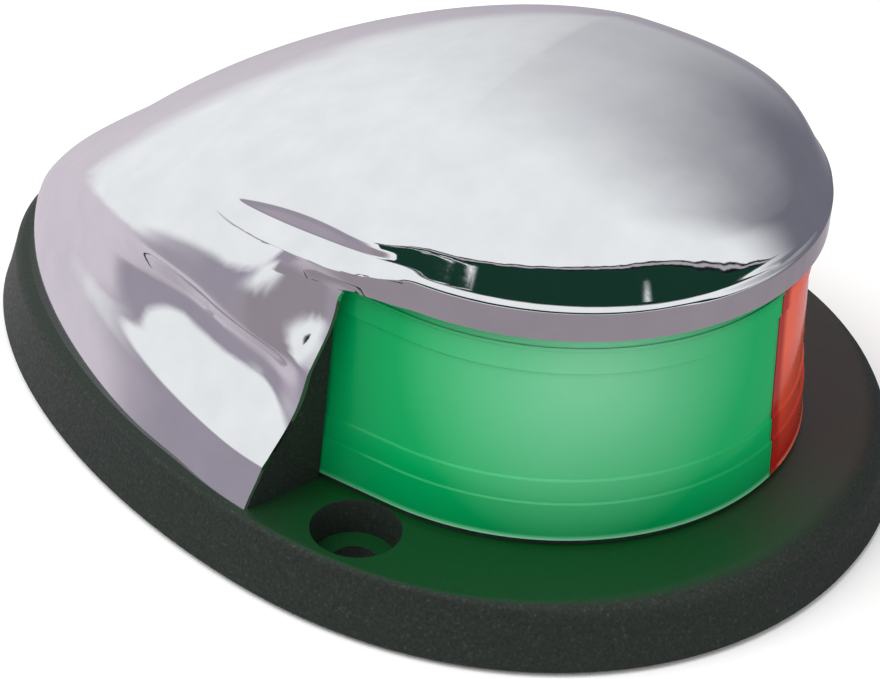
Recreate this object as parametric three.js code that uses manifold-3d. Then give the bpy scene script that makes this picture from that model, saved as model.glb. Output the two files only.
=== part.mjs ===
// Small-boat bow navigation light: green and red lens under one chromed cover on a black base.
// Millimetres. +X dead ahead, +Y port, +Z up; the origin is the middle of the mounting face.
import * as THREE from "three";
import { mergeVertices } from "three/addons/utils/BufferGeometryUtils.js";
import Module from "manifold-3d";

const wasm = await Module();
wasm.setup();

// ---- driving dimensions -------------------------------------------------------------------
const LENS_X = 16.15; // lens axis, ahead of the origin
const FIT = 0.3; // running clearance between separate pieces
const CLEAN = 0.01; // slivers thinner than this are merged away

const BASE = {
  widestX: 11.95, // where the egg outline is widest
  front: 45.5, // widest point to the front end
  aft: 69.4, // widest point to the tail
  halfWidth: 43.7,
  frontPower: 2.1,
  aftPower: 1.77,
  top: 7.7, // top of the flange
  draft: 2.3, // how far the side wall leans in
  edge: 1.2, // rounded top edge
};

const MOUNT_HOLE = { x: 15.35, y: 35.3, recess: 4.9, depth: 4.4, drill: 2.5 };
const WELL = { x: 6, halfLength: 26, halfWidth: 19, roof: 4.2 }; // wiring space under the floor

const COVER = {
  inset: 4.1, // skirt stands this far inside the base outline
  skirtSlope: 0.22, // and leans in this much for each mm it rises
  skirtTop: 13,
  wall: 2.0,
  rim: 0.7, // wall left outside the rebate along the leading edge
  domeX: 12.2, // highest point of the dome
  domeHeight: 41.1,
  domeAft: 65.5,
  domeAftPower: 1.39,
  domeFront: 40.3,
  domeFrontPower: 3.1,
  domeWidestX: 8.4,
  domeHalfWidth: 41.0,
  domeSideFront: 37.4,
  domeSidePower: 2.47,
  sectionPower: 2.41,
  sectionGain: 0.36, // the section squares up toward the nose
  scoopTop: 23, // upper edge of the lower scoop
  crest: 37.5, // top of the bead, foot of the crown face
  beadRadius: 30.2,
  beadFoot: 33.4,
  neckInset: 12.9, // side wall is never further in than this
  visorEdge: 34.0, // lower edge of the visor over the lens
  cornerRadius: 2.5,
};

const LENS = {
  radius: 30.4,
  topRadius: 28.9,
  top: 33.4,
  wall: 2.2,
  lip: 1.6, // inward step of the top edge
  lipDepth: 1.4,
  sweep: 110, // degrees of travel from dead ahead to the rear edge
  seam: 0.25, // half gap between the two halves
  seat: 0.8, // seal under the foot
};

const LAMP = { radius: 4.2, bottom: 15.2, top: 29.2, capRadius: 3.2, capLength: 4.4 };
const POST = { x: -11.5, halfWidth: 4.5, thick: 3, top: 35.5 }; // behind the lamp, from the lens axis
const SHIELD = { radius: 26.6, wall: 2, top: 32.6 };
const WING = { thick: 4.6, innerY: 24, outerY: 44, shoulder: 30, neckY: 29.8, top: 33.4 };
const GASKET = { outer: 2.5, inner: 4.3, slack: 0.3, groove: 1.5, thick: 1.2 };
const GROMMET = { x: 11.15, bore: 4.6, wire: 1.4 }; // where the leads come through the floor
const SCREW = {
  x: -24, y: 15.5, shank: 1.7, head: 3.4, headHeight: 1.9, length: 15,
  seat: 3.2, // depth of the counterbore under the base
  boss: 4, // radius of the boss in the cover
  bossFoot: 9.5,
};

// ---- colours ------------------------------------------------------------------------------
const LOOKS = {
  plastic_black: [0x23262a, 0.62, 0],
  chrome: [0xdfe2e6, 0.08, 1],
  lens_green: [0x00a45c, 0.16, 0],
  lens_red: [0xd23324, 0.16, 0],
  seal_rubber: [0x17181a, 0.9, 0],
  lamp_glass: [0xe9eef0, 0.05, 0],
  nickel: [0xb9bab4, 0.3, 1],
  brass: [0xc6a14e, 0.32, 1],
  steel: [0x9fa3a8, 0.35, 1],
  wire_red: [0xa31f1c, 0.5, 0],
  wire_black: [0x1c1c1e, 0.5, 0],
};

// ---- small helpers ------------------------------------------------------------------------
function toManifold(geometry) {
  const g = geometry.index ? geometry.toNonIndexed() : geometry.clone();
  for (const name of Object.keys(g.attributes)) {
    if (name !== "position") g.deleteAttribute(name);
  }
  const merged = mergeVertices(g, 1e-4);
  return new wasm.Manifold(
    new wasm.Mesh({
      numProp: 3,
      vertProperties: new Float32Array(merged.attributes.position.array),
      triVerts: new Uint32Array(merged.index.array),
    }),
  );
}

function toGeometry(manifold) {
  const mesh = manifold.simplify(CLEAN).getMesh();
  const g = new THREE.BufferGeometry();
  g.setAttribute("position", new THREE.BufferAttribute(new Float32Array(mesh.vertProperties), 3));
  g.setIndex(new THREE.BufferAttribute(new Uint32Array(mesh.triVerts), 1));
  g.computeVertexNormals();
  return g;
}

const union = (...parts) => parts.reduce((a, b) => a.add(b));

function extrudeUp(shape, bottom, top, curveSegments = 12) {
  const g = new THREE.ExtrudeGeometry(shape, { depth: top - bottom, bevelEnabled: false, curveSegments });
  g.translate(0, 0, bottom);
  return toManifold(g);
}

function box(x0, x1, y0, y1, z0, z1) {
  const g = new THREE.BoxGeometry(x1 - x0, y1 - y0, z1 - z0);
  g.translate((x0 + x1) / 2, (y0 + y1) / 2, (z0 + z1) / 2);
  return toManifold(g);
}

// Turned solid standing on +Z at (x, y); the outline is a list of [radius, height].
function turned(outline, x, y, segments = 32) {
  const g = new THREE.LatheGeometry(outline.map(([r, z]) => new THREE.Vector2(r, z)), segments);
  g.rotateX(Math.PI / 2);
  g.translate(x, y, 0);
  return toManifold(g);
}

const pin = (radius, z0, z1, x, y, segments = 32) =>
  turned([[0, z0], [radius, z0], [radius, z1], [0, z1]], x, y, segments);

// Round bar along a smooth curve through the points.
function bar(points, radius, steps = 24, sides = 10) {
  const curve = new THREE.CatmullRomCurve3(points.map((p) => new THREE.Vector3(...p)));
  const section = new THREE.Shape();
  section.absarc(0, 0, radius, 0, 2 * Math.PI);
  const options = { steps, extrudePath: curve, bevelEnabled: false, curveSegments: sides / 2 };
  return toManifold(new THREE.ExtrudeGeometry(section, options));
}

const clamp01 = (t) => Math.min(1, Math.max(0, t));
const smooth = (from, to, v) => {
  const t = clamp01((v - from) / (to - from));
  return t * t * (3 - 2 * t);
};

// Rounded union (lesser level) and rounded intersection (greater level) of two level fields.
function softMin(a, b, blend) {
  const h = clamp01(0.5 + (0.5 * (b - a)) / blend);
  return b * (1 - h) + a * h - blend * h * (1 - h);
}
const softMax = (a, b, blend) => -softMin(-a, -b, blend);

// ---- the egg outline shared by base and cover ---------------------------------------------
// Level of a point against the outline drawn in by `inset`: below zero inside, roughly in mm.
function eggLevel(x, y, inset) {
  const dx = x - BASE.widestX;
  const length = (dx < 0 ? BASE.aft : BASE.front) - inset;
  const width = BASE.halfWidth - inset;
  const power = dx < 0 ? BASE.aftPower : BASE.frontPower;
  const reach = (Math.abs(dx) / length) ** power + (Math.abs(y) / width) ** power;
  return (reach ** (1 / power) - 1) * width;
}

function eggPoint(angle, inset) {
  const c = Math.cos(angle);
  const s = Math.sin(angle);
  const power = c < 0 ? BASE.aftPower : BASE.frontPower;
  const length = (c < 0 ? BASE.aft : BASE.front) - inset;
  return [
    BASE.widestX + Math.sign(c) * length * Math.abs(c) ** (2 / power),
    Math.sign(s) * (BASE.halfWidth - inset) * Math.abs(s) ** (2 / power),
  ];
}

function eggShape(inset, count = 72) {
  const points = [];
  for (let i = 0; i < count; i += 1) {
    points.push(new THREE.Vector2(...eggPoint((2 * Math.PI * i) / count, inset)));
  }
  return new THREE.Shape(points);
}

const eggRing = (outer, inner, z0, z1) =>
  extrudeUp(eggShape(outer), z0, z1).subtract(extrudeUp(eggShape(inner), z0 - 1, z1 + 1));

// Solid egg whose inset changes with height; rows is a list of [inset, height].
function eggStack(rows, count = 96) {
  const position = [];
  const index = [];
  for (const [inset, z] of rows) {
    for (let i = 0; i < count; i += 1) {
      position.push(...eggPoint((2 * Math.PI * i) / count, inset), z);
    }
  }
  const last = rows.length - 1;
  position.push(BASE.widestX, 0, rows[0][1], BASE.widestX, 0, rows[last][1]);
  const bottomHub = rows.length * count;
  for (let i = 0; i < count; i += 1) {
    const next = (i + 1) % count;
    for (let r = 0; r < last; r += 1) {
      const a = r * count;
      const b = a + count;
      index.push(a + i, a + next, b + i, a + next, b + next, b + i);
    }
    index.push(bottomHub, next, i, bottomHub + 1, last * count + i, last * count + next);
  }
  return toManifold(indexed(position, index));
}

function indexed(position, index) {
  const g = new THREE.BufferGeometry();
  g.setAttribute("position", new THREE.Float32BufferAttribute(position, 3));
  g.setIndex(index);
  return g;
}

// ---- cover surface ------------------------------------------------------------------------
// Heights of the moulded edges against the bearing from dead ahead, in degrees.
const bearingOf = (x, y) => (Math.atan2(Math.abs(y), x - COVER.domeX) * 180) / Math.PI;
const skirtTop = (bearing) => COVER.skirtTop + 4 * smooth(102, 155, bearing);
const scoopTop = (bearing) => COVER.scoopTop + 4.5 * smooth(94, 125, bearing);
const crestHeight = (bearing) => COVER.crest - 2.4 * smooth(80, 127, bearing);

function domeLevel(x, y, z) {
  const dx = x - COVER.domeX;
  const power = dx < 0 ? COVER.domeAftPower : COVER.domeFrontPower;
  const along = Math.abs(dx) / (dx < 0 ? COVER.domeAft : COVER.domeFront);
  const side = x - COVER.domeWidestX;
  const sideAft = COVER.domeWidestX - COVER.domeX + COVER.domeAft;
  const across = Math.abs(side) / (side < 0 ? sideAft : COVER.domeSideFront);
  if (along >= 1 || across >= 1) return 20;
  const sidePower = side < 0 ? 2 : COVER.domeSidePower;
  const height = COVER.domeHeight * (1 - along ** power) ** (1 / power);
  const width = COVER.domeHalfWidth * (1 - across ** sidePower) ** (1 / sidePower);
  const s = COVER.sectionPower + (dx < 0 ? 0 : COVER.sectionGain * along);
  const q = ((Math.abs(y) / width) ** s + (Math.max(z - BASE.top, 0) / height) ** s) ** (1 / s);
  return (q - 1) * Math.min(width, height);
}

// Distance outside the lens axis ahead of it, and outside the centre plane behind it.
const stadiumLevel = (x, y) => Math.hypot(Math.max(x - LENS_X, 0), y);

// How far the side wall leans in from the base outline: straight up to a neck under the bead,
// and let out again over it so that the dome takes over.
function wallInset(bearing, z) {
  const foot = skirtTop(bearing);
  const slope = 0.447 - 0.13 * smooth(100, 120, bearing) - 0.2 * smooth(125, 160, bearing);
  const start = COVER.inset + COVER.skirtSlope * (foot - BASE.top) + 1.2 * smooth(110, 170, bearing);
  const neck = COVER.neckInset - 1.2 * smooth(100, 115, bearing);
  const ridge = smooth(82, 98, bearing) * (1 - smooth(100, 112, bearing));
  const overBead = 4 * Math.max(0, z - crestHeight(bearing) + 0.5);
  const overRidge = 0.65 * ridge * Math.max(0, z - 33);
  const up = clamp01((z - COVER.scoopTop) / (crestHeight(bearing) - COVER.scoopTop));
  const roll = 1.8 * smooth(98, 112, bearing) * (1 - smooth(135, 160, bearing)) * 4 * up * (1 - up);
  return softMin(start + slope * (z - foot), neck, 1.5) - overBead - overRidge - roll;
}

// Lower scoop in the side wall: a soft hollow between the skirt and the rolled ridge.
function scoopDepth(bearing, z) {
  const upper = scoopTop(bearing);
  const foot = skirtTop(bearing) - 0.5;
  const share = clamp01((upper - z) / (upper - foot));
  const fade = smooth(93, 110, bearing) * (1 - smooth(128, 144, bearing));
  return 2.2 * fade * 10 * share ** 1.4 * (1 - share) ** 2;
}

// Face between the bead and the crown: it leans in ahead and opens to a cove, the upper scoop,
// over the ridge behind.
function crownFaceRadius(bearing, x, z) {
  const up = z - crestHeight(bearing);
  const cove = smooth(78, 92, bearing);
  const narrowing = 0.16 * softMax(10 - x, 0, 3);
  const floor = 2.7 * cove * clamp01(1 - up / 1.1) ** 2;
  const face = COVER.beadRadius - 0.2 - narrowing + floor - (0.6 - 0.48 * cove) * Math.max(up, 0);
  return face - 3 * smooth(84, 96, bearing) * Math.min(up, 0);
}

function coverLevel(x, y, z) {
  const bearing = bearingOf(x, y);
  const wall = eggLevel(x, y, wallInset(bearing, z)) + scoopDepth(bearing, z);
  const dome = softMax(domeLevel(x, y, z), wall, 1.5);
  const crown = softMax(dome, stadiumLevel(x, y) - crownFaceRadius(bearing, x, z), 0.4);
  const beadSlab = softMax(z - crestHeight(bearing), COVER.beadFoot - z, 0.3);
  const beadRadius = COVER.beadRadius - 60 * smooth(94, 160, bearing);
  const bead = softMax(stadiumLevel(x, y) - beadRadius, beadSlab, 0.5);
  const tail = smooth(110, 170, bearing);
  const skirtFace = eggLevel(x, y, COVER.inset + COVER.skirtSlope * (z - BASE.top));
  const skirt = softMax(skirtFace, z - skirtTop(bearing), 0.8 + 5 * tail);
  return softMin(softMin(crown, bead, 0.5), skirt, 0.6 + 3 * tail);
}

// Nominal heights slide with the moulded edges, so a ring of points stays on each edge.
function followEdges(z, bearing) {
  const knots = [
    [BASE.top, BASE.top],
    [COVER.skirtTop, skirtTop(bearing)],
    [COVER.scoopTop, scoopTop(bearing)],
    [COVER.crest, crestHeight(bearing)],
    [60, 60],
  ];
  let k = 0;
  while (k < 3 && z > knots[k + 1][0]) k += 1;
  const [a, fromZ] = knots[k];
  const [b, toZ] = knots[k + 1];
  return fromZ + ((toZ - fromZ) * (z - a)) / (b - a);
}

function bisect(level, inside, outside) {
  let a = inside;
  let b = outside;
  for (let i = 0; i < 40; i += 1) {
    const middle = (a + b) / 2;
    if (level(middle) > 0) b = middle;
    else a = middle;
  }
  return (a + b) / 2;
}

// Rings of points up one face of the shell, `depth` mm under the outer surface.
function shellRings(depth, heights, count) {
  const top = heights[heights.length - 1];
  const ring = (height, shrink) => {
    const points = [];
    for (let i = 0; i < count; i += 1) {
      const a = (2 * Math.PI * i) / count;
      const c = Math.cos(a);
      const s = Math.sin(a);
      const z = followEdges(height, bearingOf(COVER.domeX + c, s));
      const r = bisect((t) => coverLevel(COVER.domeX + t * c, t * s, z) + depth, 0, 75) * shrink;
      const x = COVER.domeX + r * c;
      const y = r * s;
      const up = shrink < 1 ? bisect((h) => coverLevel(x, y, h) + depth, 20, 60) : z;
      points.push([x, y, up]);
    }
    return points;
  };
  const rings = heights.map((h) => ring(h, 1));
  for (const shrink of [0.72, 0.45, 0.2]) rings.push(ring(top, shrink));
  return rings;
}

// Closed solid through rings of equal count, with a hub point closing each end.
function ringSolid(rings, firstHub, lastHub) {
  const count = rings[0].length;
  const last = rings.length - 1;
  const hub = rings.length * count;
  const index = [];
  for (let i = 0; i < count; i += 1) {
    const next = (i + 1) % count;
    for (let r = 0; r < last; r += 1) {
      const a = r * count;
      const b = a + count;
      index.push(a + i, a + next, b + i, a + next, b + next, b + i);
    }
    index.push(hub, next, i, hub + 1, last * count + i, last * count + next);
  }
  return toManifold(indexed([...rings, [firstHub], [lastHub]].flat(2), index));
}

const crownPoint = (depth) => [COVER.domeX, 0, bisect((h) => coverLevel(COVER.domeX, 0, h) + depth, 20, 60)];

function coverShell() {
  const outerHeights = [
    BASE.top, 10, 12, 12.8, 13.3, 14.5, 16.5, 19, 21, 23, 26, 29, 31, 33.1, 34, 35.4, 36.4, 37.1, 37.5,
    37.9, 38.4, 39.2, 40, 40.8, 41.8, 43, 44.4, 46,
  ];
  const innerHeights = [BASE.top, 12, 16, 21, 26, 30, 34, 37, 40, 43, 44.2];
  const count = 88;
  const inner = shellRings(COVER.wall, innerHeights, count).reverse();
  const outer = shellRings(0, outerHeights, count);
  return ringSolid([...inner, ...outer], crownPoint(COVER.wall), crownPoint(0));
}

// Plane of the cover's leading edge: x on that plane at a distance y from the centreline.
const leadingEdgeX = (y) => LENS_X - 11.6 + 0.482 * (39 - Math.abs(y));

// Everything ahead of the leading edge and under the visor, with the rounded upper corner.
function openingCutter(side) {
  const r = COVER.cornerRadius;
  const profile = new THREE.Shape();
  profile.moveTo(0, -5);
  profile.lineTo(90, -5);
  profile.lineTo(90, COVER.visorEdge);
  profile.lineTo(r, COVER.visorEdge);
  profile.absarc(r, COVER.visorEdge - r, r, Math.PI / 2, Math.PI, false);
  profile.closePath();
  const g = new THREE.ExtrudeGeometry(profile, { depth: 160, bevelEnabled: false, curveSegments: 5 });
  g.translate(0, 0, -70);
  const along = new THREE.Vector3(-0.482, side, 0).normalize();
  const ahead = new THREE.Vector3(side * along.y, -side * along.x, 0);
  const basis = new THREE.Matrix4().makeBasis(ahead, new THREE.Vector3(0, 0, 1), along);
  if (basis.determinant() < 0) g.scale(1, 1, -1);
  g.applyMatrix4(basis);
  g.translate(leadingEdgeX(0), 0, 0);
  return toManifold(g);
}

function cover() {
  let shell = coverShell();
  for (const cutter of [openingCutter(1), openingCutter(-1), lensPocket(LENS.top + FIT)]) {
    shell = shell.subtract(cutter);
  }
  const rebate = solidInside(COVER.rim);
  const cavity = solidInside(COVER.wall * 0.5);
  const { x, shank, boss, bossFoot } = SCREW;
  for (const side of [1, -1]) {
    const slab = wingSlab(side, 6, WING.thick + FIT, WING.outerY, BASE.top - 1, WING.top + FIT);
    shell = shell.subtract(slab.intersect(rebate));
    const y = side * SCREW.y;
    shell = shell.add(pin(boss, bossFoot, 50, x, y, 24).intersect(cavity));
    shell = shell.subtract(pin(shank + 0.25, 5, bossFoot + 13, x, y, 16));
  }
  return shell;
}

// Solid filling the cover down to the flange, `depth` mm under its outer surface.
function solidInside(depth) {
  const rings = shellRings(depth, [BASE.top, 11, 13, 15, 18, 22, 26, 29, 32, 34, 37, 40, 43], 72);
  return ringSolid(rings, [COVER.domeX, 0, BASE.top], crownPoint(depth));
}

// ---- plates bent round the lens axis ------------------------------------------------------
const roundPlan = (radius, angle) => [LENS_X + radius * Math.cos(angle), radius * Math.sin(angle)];

// The lens is a half circle carried straight back along both flanks.
function lensPlan(radius, angle) {
  const past = Math.abs(angle) - Math.PI / 2;
  if (past <= 0) return roundPlan(radius, angle);
  return [LENS_X - past * LENS.radius, Math.sign(angle) * radius];
}

// Solid wall between two radii over a range of travel; rows run bottom to top and hold
// inner radius, outer radius and height.
function arcWall(rows, fromDeg, toDeg, steps, plan) {
  const position = [];
  const index = [];
  const per = rows.length * 2;
  for (let i = 0; i <= steps; i += 1) {
    const a = ((fromDeg + ((toDeg - fromDeg) * i) / steps) * Math.PI) / 180;
    for (const [inner, outer, z] of rows) {
      for (const r of [inner, outer]) position.push(...plan(r, a), z);
    }
  }
  const quad = (a, b, c, d) => index.push(a, b, c, a, c, d);
  for (let i = 0; i < steps; i += 1) {
    const p = i * per;
    const n = p + per;
    for (let r = 0; r + 1 < rows.length; r += 1) {
      const k = 2 * r;
      quad(p + k + 1, n + k + 1, n + k + 3, p + k + 3);
      quad(p + k, p + k + 2, n + k + 2, n + k);
    }
    quad(p, n, n + 1, p + 1);
    quad(p + per - 2, p + per - 1, n + per - 1, n + per - 2);
  }
  const e = steps * per;
  for (let r = 0; r + 1 < rows.length; r += 1) {
    const k = 2 * r;
    quad(k, k + 1, k + 3, k + 2);
    quad(e + k, e + k + 2, e + k + 3, e + k + 1);
  }
  return toManifold(indexed(position, index));
}

// ---- base ---------------------------------------------------------------------------------
function flange() {
  const { top, draft, edge } = BASE;
  const rows = [[0.4, 0], [0, 0.5], [draft * 0.85, top - edge]];
  for (const t of [0.35, 0.7, 1]) {
    const a = (t * Math.PI) / 2;
    rows.push([draft * 0.85 + edge * (1 - Math.cos(a)), top - edge + edge * Math.sin(a)]);
  }
  return eggStack(rows);
}

// Front face of the wings, a little behind the cover's leading edge beside the lens.
const wingFrontX = (y) => LENS_X - 11.6 + 0.3 * (39 - Math.abs(y));

// Upright slab on the wing plane, from `ahead` of its front face to `behind` it.
function wingSlab(side, ahead, behind, outerY, z0, z1) {
  const shape = new THREE.Shape();
  shape.moveTo(wingFrontX(WING.innerY) + ahead, side * WING.innerY);
  shape.lineTo(wingFrontX(outerY) + ahead, side * outerY);
  shape.lineTo(wingFrontX(outerY) - behind, side * outerY);
  shape.lineTo(wingFrontX(WING.innerY) - behind, side * WING.innerY);
  shape.closePath();
  return extrudeUp(shape, z0, z1);
}

// Wall behind the lens: an arc shield round the lamp and a wing out to the cover on each side.
// Above the shoulder the wing stops short, so the narrow neck of the cover lifts past it.
function bulkhead() {
  const { radius, wall, top } = SHIELD;
  const rows = [[radius - wall, radius, BASE.top - 1], [radius - wall, radius, top]];
  let wallBehind = arcWall(rows, 104, 256, 40, roundPlan);
  const inside = solidInside(COVER.rim + FIT);
  for (const side of [1, -1]) {
    const low = wingSlab(side, 0, WING.thick, WING.outerY, BASE.top, WING.shoulder).intersect(inside);
    const high = wingSlab(side, 0, WING.thick, WING.neckY, BASE.top, WING.top);
    wallBehind = union(wallBehind, low, high);
  }
  return wallBehind.subtract(lensPocket(WING.top + 1));
}

// Space the lens halves stand in, with clearance all round.
function lensPocket(top) {
  const inner = LENS.topRadius - LENS.wall - LENS.lip - FIT;
  const outerTop = LENS.topRadius + FIT + 0.1;
  const reach = LENS.sweep + 0.6;
  const rows = [
    [inner, LENS.radius + FIT + 0.1, BASE.top],
    [inner, outerTop, LENS.top],
    [inner, outerTop, top],
  ];
  return arcWall(rows, -reach, reach, 72, lensPlan);
}

function base() {
  const hole = MOUNT_HOLE;
  let body = union(flange(), bulkhead());
  const face = LENS_X + POST.x;
  body = body.add(box(face - POST.thick, face, -POST.halfWidth, POST.halfWidth, BASE.top - 1, POST.top));
  const wellShape = new THREE.Shape();
  wellShape.absellipse(WELL.x, 0, WELL.halfLength, WELL.halfWidth, 0, 2 * Math.PI);
  body = body.subtract(extrudeUp(wellShape, -1, WELL.roof, 24));
  body = body.subtract(eggRing(GASKET.outer - GASKET.slack, GASKET.inner + GASKET.slack, -1, GASKET.groove));
  for (const side of [1, -1]) {
    body = body.subtract(pin(hole.recess, BASE.top - hole.depth, 20, hole.x, side * hole.y));
    body = body.subtract(pin(hole.drill, -1, 10, hole.x, side * hole.y));
    body = body.subtract(pin(SCREW.shank + FIT, -1, 10, SCREW.x, side * SCREW.y, 24));
    body = body.subtract(pin(SCREW.head + FIT + 0.8, -1, SCREW.seat, SCREW.x, side * SCREW.y, 24));
  }
  return body.subtract(pin(GROMMET.bore, -1, 12, GROMMET.x, 0, 24));
}

const mountingGasket = () => eggRing(GASKET.outer, GASKET.inner, 0, GASKET.thick);

// Strip in front of the cover's inner foot, round the back of the base only.
function coverSeal() {
  const outer = COVER.inset + COVER.wall + FIT;
  const ring = eggRing(outer, outer + 3.4, BASE.top, BASE.top + 1.4);
  const behindWings = box(-60, leadingEdgeX(40) - WING.thick - 1, -60, 60, 0, 20);
  return ring.intersect(behindWings).intersect(solidInside(COVER.wall + 4 * FIT));
}

// ---- lens halves --------------------------------------------------------------------------
function lensRows() {
  const { radius, topRadius, top, wall, seat } = LENS;
  const foot = BASE.top + seat;
  const outerAt = (z) => radius + ((topRadius - radius) * (z - BASE.top)) / (top - BASE.top);
  // height and step out of the moulded ring lines
  const steps = [
    [foot, 0], [13, 0], [13.3, -0.25], [15.8, -0.25], [16.1, -0.45],
    [29.1, -0.45], [29.4, -0.2], [31.6, -0.2], [31.9, 0], [top, 0],
  ];
  return steps.map(([z, out]) => [outerAt(z) + out - wall, outerAt(z) + out, z]);
}

// A wall following the lens on one side, from the seam on the centreline to the rear edge.
function halfWall(side, rows) {
  const seamDeg = (LENS.seam / LENS.radius) * (180 / Math.PI);
  const from = side > 0 ? seamDeg : -LENS.sweep;
  const to = side > 0 ? LENS.sweep : -seamDeg;
  return arcWall(rows, from, to, 36, lensPlan);
}

function lensHalf(side) {
  const inner = LENS.topRadius - LENS.wall;
  const lip = [inner - LENS.lip, inner + 0.8];
  const lipRows = [[...lip, LENS.top - LENS.lipDepth], [...lip, LENS.top]];
  return halfWall(side, lensRows()).add(halfWall(side, lipRows));
}

function lensSeal(side) {
  const band = [LENS.radius - LENS.wall, LENS.radius - 0.4];
  return halfWall(side, [[...band, BASE.top], [...band, BASE.top + LENS.seat - 0.05]]);
}

// Thin wall on the centreline that keeps each colour on its own side.
function sectorBaffle() {
  const front = LENS_X + LENS.topRadius - LENS.wall - 2.2;
  const back = LENS_X + LAMP.radius + 3;
  return union(
    box(back, front, -0.7, 0.7, BASE.top, LENS.top - 0.6),
    box(back, front - 2, -3, 3, BASE.top, BASE.top + 1.2),
  );
}

// ---- lamp and contacts --------------------------------------------------------------------
function lampGlass() {
  const { radius, bottom, top } = LAMP;
  return turned(
    [[0, bottom], [2.4, bottom], [3.5, bottom + 0.7], [radius, bottom + 2.2], [radius, top - 2.2],
      [3.5, top - 0.7], [2.4, top], [0, top]],
    LENS_X, 0, 28,
  ).subtract(pin(0.9, bottom - 1, top - 3, LENS_X, 0, 12));
}

function lampCap(upward) {
  const { bottom, top, capRadius, capLength } = LAMP;
  const rim = upward ? top + 0.05 : bottom - 0.05;
  const to = (d) => (upward ? rim + d : rim - d);
  const tip = 1.2;
  const outline = [[0, to(0)], [capRadius, to(0)], [capRadius, to(2.6)], [tip, to(capLength)], [0, to(capLength)]];
  return turned(upward ? outline : outline.reverse(), LENS_X, 0, 24);
}

function lampFilament() {
  const { bottom, top } = LAMP;
  const wave = [[0, bottom + 0.3], [0.25, bottom + 4], [-0.25, bottom + 7], [0, top - 3.4]];
  return bar(wave.map(([y, z]) => [LENS_X, y, z]), 0.25, 16, 6);
}

// Flat spring up the post and out to the lamp cap, with a hole the cap tip sits in.
const SPRING = { face: LENS_X + POST.x + 0.05, thick: 0.8, halfWidth: 3, leg: 7 };

function contact(z, upward) {
  const { face, thick, halfWidth, leg } = SPRING;
  const outer = upward ? z + thick : z - thick;
  const legEnd = upward ? z - leg : z + leg;
  const span = (a, b) => [Math.min(a, b), Math.max(a, b)];
  const tongue = box(face, LENS_X + 3.4, -halfWidth, halfWidth, ...span(z, outer));
  const back = box(face, face + thick, -halfWidth, halfWidth, ...span(legEnd, outer));
  return tongue.add(back).subtract(pin(1.9, z - 3, z + 3, LENS_X, 0, 20));
}

function rivet(z) {
  const face = SPRING.face + SPRING.thick + 0.05;
  const g = new THREE.LatheGeometry(
    [[0, 0], [1.6, 0], [1.5, 0.5], [0.9, 0.9], [0, 1]].map(([r, h]) => new THREE.Vector2(r, h)), 20,
  );
  g.rotateZ(-Math.PI / 2);
  g.translate(face, 0, z);
  return toManifold(g);
}

// ---- wiring under the floor ---------------------------------------------------------------
const LEAD = { y: 1.7, radius: 1.0, low: 2.1, end: 19, endY: 5.5 };

function lead(side) {
  const { x } = GROMMET;
  const { y, low, end, endY } = LEAD;
  return bar(
    [
      [x, side * y, 6.8], [x, side * y, 4.4], [x - 0.8, side * 1.9, 2.8],
      [x - 5, side * 3.4, low], [x - 12, side * 7, low], [x - end, side * endY, low],
    ],
    LEAD.radius, 24, 10,
  );
}

function terminal(side) {
  const x = GROMMET.x - LEAD.end;
  const { low, endY } = LEAD;
  const path = [[x - 0.4, side * (endY - 0.1), low], [x - 3.2, side * 4.6, low], [x - 6, side * 4, low]];
  return bar(path, 1.4, 8, 10);
}

function grommet() {
  const { x, bore, wire } = GROMMET;
  const r = bore - 0.15;
  const shoulder = BASE.top + 0.1;
  const outline = [[0, 4.5], [r, 4.5], [r, shoulder], [r + 1, shoulder], [r + 1, 8.9], [0, 8.9]];
  let body = turned(outline, x, 0, 28);
  for (const side of [1, -1]) body = body.subtract(pin(wire, 3, 10, x, side * LEAD.y, 20));
  return body;
}

// ---- cover screws -------------------------------------------------------------------------
const WASHER = 0.8;

function coverScrew(side) {
  const { x, y, shank, head, headHeight, length } = SCREW;
  const seat = SCREW.seat - WASHER - 0.1;
  return turned(
    [[0, seat - headHeight], [head * 0.8, seat - headHeight], [head, seat - headHeight + 0.6], [head, seat],
      [shank, seat], [shank, seat + length], [0, seat + length + 1]],
    x, side * y, 24,
  ).subtract(
    union(
      box(x - 2.2, x + 2.2, side * y - 0.4, side * y + 0.4, -1, seat - headHeight + 1),
      box(x - 0.4, x + 0.4, side * y - 2.2, side * y + 2.2, -1, seat - headHeight + 1),
    ),
  );
}

function screwWasher(side) {
  const { x, y, shank, head } = SCREW;
  const [inner, outer, top] = [shank + 0.15, head + 0.5, SCREW.seat - 0.05];
  const foot = top - WASHER;
  return turned([[inner, foot], [outer, foot], [outer, top], [inner, top], [inner, foot]], x, side * y, 24);
}

// ---- assembly -----------------------------------------------------------------------------
const part = new THREE.Group();
part.name = "navigation_light";

function place(name, look, manifold) {
  const [color, roughness, metalness] = LOOKS[look];
  const material = new THREE.MeshStandardMaterial({ color, roughness, metalness });
  const mesh = new THREE.Mesh(toGeometry(manifold), material);
  mesh.name = name;
  part.add(mesh);
}

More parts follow.
